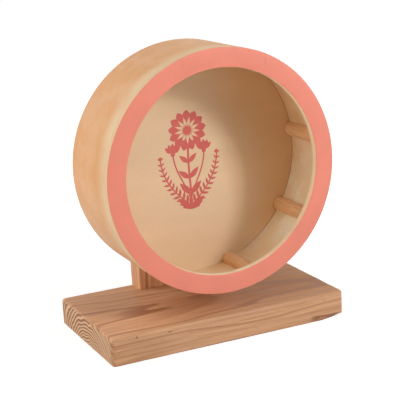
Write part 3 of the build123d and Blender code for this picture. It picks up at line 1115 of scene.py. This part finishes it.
def pair_of_holes(outline, low, high, width, foot):
    """Two upright holes, at the ends of a row along X whose box and single width are given."""
    half = (high.x - low.x - width) / 2
    return [(outline, (side * half, (low.y + high.y) / 2, foot), (0, 0, 1)) for side in (-1, 1)]


def screw_holes(look, outline):
    return pair_of_holes(outline, SCREWS_LOW, SCREWS_HIGH, look.screw_head, 0)


def dowel_holes(look):
    width, gap = DOWELS_HIGH.y - DOWELS_LOW.y, look.joint_gap
    radius = width / 2 + gap
    outline = [(radius, -gap), (radius, DOWELS_HIGH.z - DOWELS_LOW.z + gap)]
    return pair_of_holes(outline, DOWELS_LOW, DOWELS_HIGH, width, DOWELS_LOW.z)


def stand_holes(look):
    """The base board's holes: two countersunk ones from below and two for dowels from above."""
    through = BOARD_HIGH.z - BOARD_LOW.z + MM
    head, shank = look.screw_head / 2 + look.joint_gap, look.screw / 2 + look.joint_gap
    countersink = [(head, -MM), (head, SCREWS_LOW.z), (shank, SCREWS_LOW.z + head - shank), (shank, through)]
    return screw_holes(look, countersink) + dowel_holes(look)


def post_holes(look):
    """The post's bearing pockets, the bore between them, and the holes for screws and dowels from below."""
    low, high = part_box("front_bearing_outer_ring")
    pocket, depth = (high.x - low.x) / 2 + look.joint_gap, high.y - low.y
    bore = pocket - look.bearing_shoulder
    span = POST_HIGH.y - POST_LOW.y
    bearings = [(pocket, -MM), (pocket, depth), (bore, depth)]
    bearings += [(bore, span - depth), (pocket, span - depth), (pocket, span + MM)]
    shank = look.screw / 2 + look.joint_gap
    point = 0.1 * MM
    thread = [(shank, 0), (shank, SCREWS_HIGH.z - look.screw), (point, SCREWS_HIGH.z + look.joint_gap)]
    across = (bearings, (0, POST_LOW.y, AXLE_HEIGHT), (0, 1, 0))
    return [across, *screw_holes(look, thread), *dowel_holes(look)]


def cut_wane(mesh, low, high, look):
    """Pushes the board's lower front edge in to a rough bevel over its right end, deepest at the corner, and
    marks it in the attribute that the wood reads."""
    start = high[0] - look.wane_length
    places = vertex_places(mesh)
    rough = noise_at(places, 2.5, 31.0) * 0.05 + noise_at(places, 9, 5.0) * 0.08
    share = np.clip((places[:, 0] - start) / look.wane_length, 0, 1)
    opening = np.clip(share * 8, 0.2, 1) ** 0.5

    def bevel(side, power):
        first, last = look.wane_start[side], look.wane_end[side]
        return (first + (last - first) * share ** power) * (1 + rough)

    height = bevel(0, 2) * opening
    depth = bevel(1, 2.5)
    inside = (places[:, 1] - low[1]) / depth + (places[:, 2] - low[2]) / height
    push = np.where((places[:, 0] > start) & (inside < 1), (1 - inside) / (depth ** -2 + height ** -2), 0)
    places[:, 1] += push / depth
    places[:, 2] += push / height
    torn_from = 0.15 * MM
    broken = mesh.attributes.new("broken", "FLOAT", "POINT")
    broken.data.foreach_set("value", np.clip(push * np.hypot(1 / depth, 1 / height) / torn_from, 0, 1))
    move_vertices(mesh, places)


def split_corner(mesh, low, foot):
    """A splintered strip along the post's front left edge, near the base board."""
    places = vertex_places(mesh)
    tall, wide = 34 * MM, 1.5 * MM
    above = (places[:, 2] - foot) / tall
    width = np.clip(1 - above, 0, 1) ** 0.5 * wide * (0.75 + 0.5 * noise_at(places, 5, 8.0))
    out = (places[:, 0] - low[0]) + (places[:, 1] - low[1])
    push = np.clip(width - out, 0, None) / 2
    places[:, 0] += push
    places[:, 1] += push
    move_vertices(mesh, places)


def trim_below(mesh, height):
    """Cuts off what lies below a height and closes the cut."""
    work = bmesh.new()
    work.from_mesh(mesh)
    cut = bmesh.ops.bisect_plane(
        work, geom=work.verts[:] + work.edges[:] + work.faces[:], plane_co=(0, 0, height),
        plane_no=(0, 0, -1), clear_outer=True,
    )
    edges = [item for item in cut["geom_cut"] if isinstance(item, bmesh.types.BMEdge)]
    bmesh.ops.contextual_create(work, geom=edges)
    bmesh.ops.recalc_face_normals(work, faces=work.faces)
    work.to_mesh(mesh)
    work.free()


# Stage


def seen_directly(tree):
    """1 for rays that should see the background itself: from the camera, or mirrored or passed through."""
    path = put(tree, "ShaderNodeLightPath")
    reflected = maths("MAXIMUM", path["Is Glossy Ray"], path["Is Transmission Ray"])
    return maths("MAXIMUM", path["Is Camera Ray"], reflected)


def make_floor(look):
    """A pale floor that shows white, apart from the object's own shadow."""
    reach = 4.0
    mesh = bpy.data.meshes.new("floor")
    corners = [(-reach, -reach, 0), (reach, -reach, 0), (reach, reach, 0), (-reach, reach, 0)]
    mesh.from_pydata(corners, [], [(0, 1, 2, 3)])
    material = bpy.data.materials.new("floor_white")
    material.use_nodes = True
    tree = material.node_tree
    tree.nodes.remove(tree.nodes["Principled BSDF"])
    seen = seen_directly(tree)
    matt = shade(tree, "BsdfDiffuse", Color=blended(seen, look.floor, (look.floor_shade,) * 3))
    away = length(put(tree, "ShaderNodeTexCoord")["Object"])
    white = remap(away, 0.15, 0.5, look.floor_glow, 1.0, "SMOOTHSTEP")
    glow = shade(tree, "Emission", Strength=seen * white)
    link(shade(tree, "AddShader", matt, glow), tree.nodes["Material Output"].inputs["Surface"])
    arrange(tree)
    mesh.materials.append(material)
    in_scene("floor", mesh)


def make_sky(look):
    """Even light from all round; the background itself shows white."""
    world = bpy.data.worlds.new("studio")
    bpy.context.scene.world = world
    world.use_nodes = True
    tree = world.node_tree
    background = tree.nodes["Background"]
    background.inputs["Color"].default_value = (1, 1, 1, 1)
    link(remap(seen_directly(tree), 0, 1, look.sky, 1.0), background.inputs["Strength"])
    arrange(tree)


def make_lamp(name, power, colour, size, azimuth, elevation):
    """A square soft lamp that looks at the wheel. Its azimuth counts from the front towards the right."""
    azimuth, elevation = math.radians(azimuth), math.radians(elevation)
    flat = math.cos(elevation)
    away = Vector((math.sin(azimuth) * flat, -math.cos(azimuth) * flat, math.sin(elevation)))
    data = bpy.data.lights.new(name, "AREA")
    data.energy, data.color, data.size = power, colour, size
    place = Matrix.Translation(LAMP_AIM + away * LAMP_DISTANCE)
    in_scene(name, data).matrix_world = place @ away.to_track_quat("Z", "Y").to_matrix().to_4x4()


def make_camera(look):
    data = bpy.data.cameras.new("camera")
    data.sensor_width, data.lens = 36, look.lens
    camera = in_scene("camera", data)
    turn = Matrix.Rotation(look.azimuth, 4, "Z") @ Matrix.Rotation(math.pi / 2 - look.elevation, 4, "X")
    camera.matrix_world = Matrix.Translation(look.place) @ turn @ Matrix.Rotation(look.roll, 4, "Z")
    bpy.context.scene.camera = camera


# Pieces


def own(piece, body, slot, *nodes):
    """Seats a finished piece: it rides on a body and stands for CAD nodes, which it hides; the slot is not
    used.
    """
    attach(piece, body)
    if nodes:
        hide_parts(*nodes)


def dress(material, *nodes):
    """Gives CAD nodes a material."""
    for name in nodes:
        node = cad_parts[name]
        if not node.material_slots:
            node.data.materials.append(material)
        for slot in node.material_slots:
            slot.material = material


def plated():
    """The zinc plating that all loose steel fittings share."""
    return bpy.data.materials.get("zinc_plate") or steel("zinc_plate", linear(196, 194, 186), 0.34)


class HAMSTERWHEEL_OT_front_ring(bpy.types.Operator):
    """Make the front ring: plywood, its front face painted"""
    bl_idname = "hamster_wheel.front_ring"
    bl_label = "Front Ring"

    def execute(self, context):
        look = settings().wheel
        ring = grown(
            "ring_painted", band_tree(), ring_material(look), radius=WHEEL_RADIUS, wall=look.ring_width,
            depth=RING_HIGH.y - RING_LOW.y, edge_round=look.ring_edge_round, station=RING_LOW.y,
            segments=look.segments, wear=look.ring_wear,
        )
        own(ring, "wheel", "painted_ring", "front_ring")
        return {"FINISHED"}


class HAMSTERWHEEL_OT_hoop(bpy.types.Operator):
    """Make the running hoop of thin bent plywood"""
    bl_idname = "hamster_wheel.hoop"
    bl_label = "Running Hoop"

    def execute(self, context):
        look = settings().wheel
        hoop = grown(
            "hoop_bent", band_tree(), hoop_material(look), radius=WHEEL_RADIUS, wall=look.hoop_wall,
            depth=HOOP_HIGH.y - HOOP_LOW.y, edge_round=look.hoop_edge_round, station=HOOP_LOW.y,
            segments=look.segments, wear=look.hoop_wear,
        )
        own(hoop, "wheel", "hoop_plywood", "running_hoop")
        return {"FINISHED"}


class HAMSTERWHEEL_OT_back_disc(bpy.types.Operator):
    """Finish the back disc and print its plant motif"""
    bl_idname = "hamster_wheel.back_disc"
    bl_label = "Back Disc and Print"

    def execute(self, context):
        look, design = settings().wheel, settings().print
        dress(disc_material(look), "back_disc")
        motif = grown(
            "print_motif", motif_tree(), ink_material(design), smooth_angle=20, height=design.height,
            film=design.film, station=DISC_FRONT, aside=design.centre[0], up=design.centre[1],
        )
        own(motif, "wheel", "painted_ring")
        return {"FINISHED"}


class HAMSTERWHEEL_OT_rungs(bpy.types.Operator):
    """Make the rungs and the glued joints inside the wheel"""
    bl_idname = "hamster_wheel.rungs"
    bl_label = "Rungs and Joints"

    def execute(self, context):
        look = settings().wheel
        row = {
            "count": look.rung_count, "first_angle": look.first_rung,
            "hoop_radius": WHEEL_RADIUS - look.hoop_wall,
        }
        rungs = grown(
            "rungs_glued", rung_tree(), rung_material(look), radius=look.rung_radius,
            length=DISC_FRONT - RING_HIGH.y, station=RING_HIGH.y, **row,
        )
        own(rungs, "wheel", "rung_wood", *[f"rung_{number}" for number in range(1, 10)])
        joints = grown(
            "joint_glue", joint_tree(), glue_material(look), smooth_angle=60, rung_radius=look.rung_radius,
            station=DISC_FRONT, **row,
        )
        own(joints, "wheel", "rung_wood")
        return {"FINISHED"}


class HAMSTERWHEEL_OT_hub(bpy.types.Operator):
    """Finish the hub block and make its screws"""
    bl_idname = "hamster_wheel.hub"
    bl_label = "Hub and Screws"

    def execute(self, context):
        dress(beech(), "hub_block", "post_dowels")
        screws = grown("hub_screws_steel", hub_screw_tree(), plated(), station=HUB_BACK)
        own(screws, "wheel", "zinc_steel", "hub_screws")
        return {"FINISHED"}


class HAMSTERWHEEL_OT_axle(bpy.types.Operator):
    """Finish the axle bolt, sleeves, washer and threaded insert"""
    bl_idname = "hamster_wheel.axle"
    bl_label = "Axle"

    def execute(self, context):
        dress(plated(), "axle_bolt", "hub_sleeve", "inner_spacer", "rear_washer", "threaded_insert")
        return {"FINISHED"}


class HAMSTERWHEEL_OT_bearings(bpy.types.Operator):
    """Finish the two ball bearings and make their balls"""
    bl_idname = "hamster_wheel.bearings"
    bl_label = "Bearings"

    def execute(self, context):
        ground = steel("bearing_steel", linear(205, 205, 208), 0.16, turned=9.0)
        pressed = steel("shield_steel", linear(176, 176, 176), 0.4, turned=5.0)
        tree = ball_tree()
        for side in ("front", "rear"):
            low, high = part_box(f"{side}_bearing_balls")
            balls = grown(f"{side}_balls", tree, ground, smooth_angle=60, station=(low.y + high.y) / 2)
            own(balls, f"{side}_ball_set", "bearing_steel", f"{side}_bearing_balls")
            dress(ground, f"{side}_bearing_outer_ring", f"{side}_bearing_inner_ring")
            dress(pressed, f"{side}_bearing_shields", f"{side}_bearing_cage")
        return {"FINISHED"}


class HAMSTERWHEEL_OT_base_board(bpy.types.Operator):
    """Make the base board: planed softwood with rounded edges, a wane and its screw holes"""
    bl_idname = "hamster_wheel.base_board"
    bl_label = "Base Board"

    def execute(self, context):
        look = settings().stand
        low, high = np.array(BOARD_LOW), np.array(BOARD_HIGH)
        wood = board_wood(
            "board_wood", look, grain=0, pith=(-16.5, -34.2), slope=(-0.08, -0.078), ring_start=9.886,
            dents=BOARD_DENTS, shade_and_darker_patches=BOARD_SHADOW_AND_DARKER_FRONT, front=0.75,
        )
        wane_start = high[0] - look.wane_length
        wane_lines = (wane_start - 0.5 * MM, wane_start)
        lines = (
            grid_lines(low[0], high[0], 0.6, reach=6.6, coarse=1.6, extra=wane_lines),
            grid_lines(low[1], high[1], 0.6, reach=9, coarse=1.5),
            grid_lines(low[2], high[2], 0.4, reach=6.8, coarse=1.2),
        )
        rounds, corners = (look.bottom_round, look.top_round), (look.corner_round, look.corner_round)
        board = planed_board("board_planed", wood, low, high, lines, 2, rounds, corners, look.wear, seed=3.0)
        cut_wane(board.data, low, high, look)
        drill(board, stand_holes(look))
        polish(board.data, smooth_angle=40)
        own(board, "stand", "board_wood", "base_board")
        return {"FINISHED"}


class HAMSTERWHEEL_OT_post(bpy.types.Operator):
    """Make the upright post with its bearing pockets"""
    bl_idname = "hamster_wheel.post"
    bl_label = "Upright Post"

    def execute(self, context):
        look = settings().stand
        low, high = np.array(POST_LOW), np.array(POST_HIGH)
        foot = low[2]
        low[2] -= 2 * look.post_edge
        # The post's wood is a lighter copy of the board's, painted light to lift its shaded front; its lit
        # left side gets painted shade back
        wood = board_wood(
            "post_wood", look, grain=2, pith=(14.0, 100.0), slope=(0.02, -0.03), tones=(1.32, 1.2),
            shade_and_darker_patches=POST_SIDE_SHADE, front=1.3, seed=40.0,
        )
        lines = (
            grid_lines(low[0], high[0], 0.5, reach=3, coarse=1.5),
            grid_lines(low[1], high[1], 0.4, reach=2.4, coarse=1.3),
            grid_lines(low[2], high[2], 0.6, reach=6, coarse=1.6),
        )
        rounds, corners = (look.post_edge, look.post_edge), (0, look.post_corner)
        post = planed_board("post_planed", wood, low, high, lines, 1, rounds, corners, look.wear, seed=12.0)
        split_corner(post.data, low, foot)
        trim_below(post.data, foot)
        drill(post, post_holes(look))
        polish(post.data, smooth_angle=40)
        own(post, "stand", "board_wood", "upright_post")
        return {"FINISHED"}


class HAMSTERWHEEL_OT_post_screws(bpy.types.Operator):
    """Make the two screws that hold the post on the base board"""
    bl_idname = "hamster_wheel.post_screws"
    bl_label = "Post Screws"

    def execute(self, context):
        look = settings().stand
        size, middle = SCREWS_HIGH - SCREWS_LOW, (SCREWS_HIGH + SCREWS_LOW) / 2
        screws = grown(
            "post_screws_steel", post_screw_tree(), plated(), diameter=look.screw, head=look.screw_head,
            spacing=size.x - look.screw_head, length=size.z, station=middle.y, sink=SCREWS_LOW.z,
        )
        own(screws, "stand", "zinc_steel", "post_screws")
        return {"FINISHED"}


class HAMSTERWHEEL_OT_stage(bpy.types.Operator):
    """Set up the floor, the backdrop, the lamps and the camera"""
    bl_idname = "hamster_wheel.stage"
    bl_label = "Stage"

    def execute(self, context):
        look = settings().stage
        context.scene.view_settings.view_transform = "Standard"
        make_floor(look)
        make_sky(look)
        white, warm = (1, 1, 1), look.warm[:]
        make_lamp("key_lamp", look.key, white, size=0.28, azimuth=34, elevation=22.5)
        make_lamp("key_side_lamp", look.key * 0.2, white, size=0.55, azimuth=50, elevation=10)
        make_lamp("top_lamp", look.top, white, size=0.6, azimuth=5, elevation=50)
        make_lamp("fill_lamp", look.fill, warm, size=0.6, azimuth=-70, elevation=20)
        make_lamp("fill_side_lamp", look.fill * 0.45, warm, size=0.6, azimuth=-110, elevation=20)
        make_lamp("back_lamp_left", look.back, white, size=0.6, azimuth=-130, elevation=45)
        make_lamp("back_lamp_right", look.back * 0.45, white, size=0.6, azimuth=120, elevation=45)
        make_camera(look)
        return {"FINISHED"}


OPERATORS = (
    HAMSTERWHEEL_OT_front_ring,
    HAMSTERWHEEL_OT_hoop,
    HAMSTERWHEEL_OT_back_disc,
    HAMSTERWHEEL_OT_rungs,
    HAMSTERWHEEL_OT_hub,
    HAMSTERWHEEL_OT_axle,
    HAMSTERWHEEL_OT_bearings,
    HAMSTERWHEEL_OT_base_board,
    HAMSTERWHEEL_OT_post,
    HAMSTERWHEEL_OT_post_screws,
    HAMSTERWHEEL_OT_stage,
)


class VIEW3D_PT_hamster_wheel(bpy.types.Panel):
    """The hamster wheel's settings and its making, piece by piece"""
    bl_idname = "VIEW3D_PT_hamster_wheel"
    bl_label = "Hamster Wheel"
    bl_space_type = "VIEW_3D"
    bl_region_type = "UI"
    bl_category = "Hamster Wheel"

    def draw(self, context):
        layout = self.layout
        layout.use_property_split = True
        for title in ("wheel", "print", "stand", "stage"):
            group = getattr(context.scene.hamster_wheel, title)
            box = layout.box()
            box.label(text=title.capitalize())
            for key in group.__annotations__:
                box.prop(group, key)
        for operator in OPERATORS:
            layout.operator(operator.bl_idname)


CLASSES = (
    WheelSettings, PrintSettings, StandSettings, StageSettings, HamsterWheelSettings, *OPERATORS,
    VIEW3D_PT_hamster_wheel,
)


def register():
    for item in CLASSES:
        bpy.utils.register_class(item)
    bpy.types.Scene.hamster_wheel = PointerProperty(type=HamsterWheelSettings)


def unregister():
    del bpy.types.Scene.hamster_wheel
    for item in reversed(CLASSES):
        bpy.utils.unregister_class(item)


def main():
    """Makes every piece and the stage."""
    register()
    make = bpy.ops.hamster_wheel
    make.front_ring()
    make.hoop()
    make.back_disc()
    make.rungs()
    make.hub()
    make.axle()
    make.bearings()
    make.base_board()
    make.post()
    make.post_screws()
    make.stage()


if __name__ == "__main__":
    main()
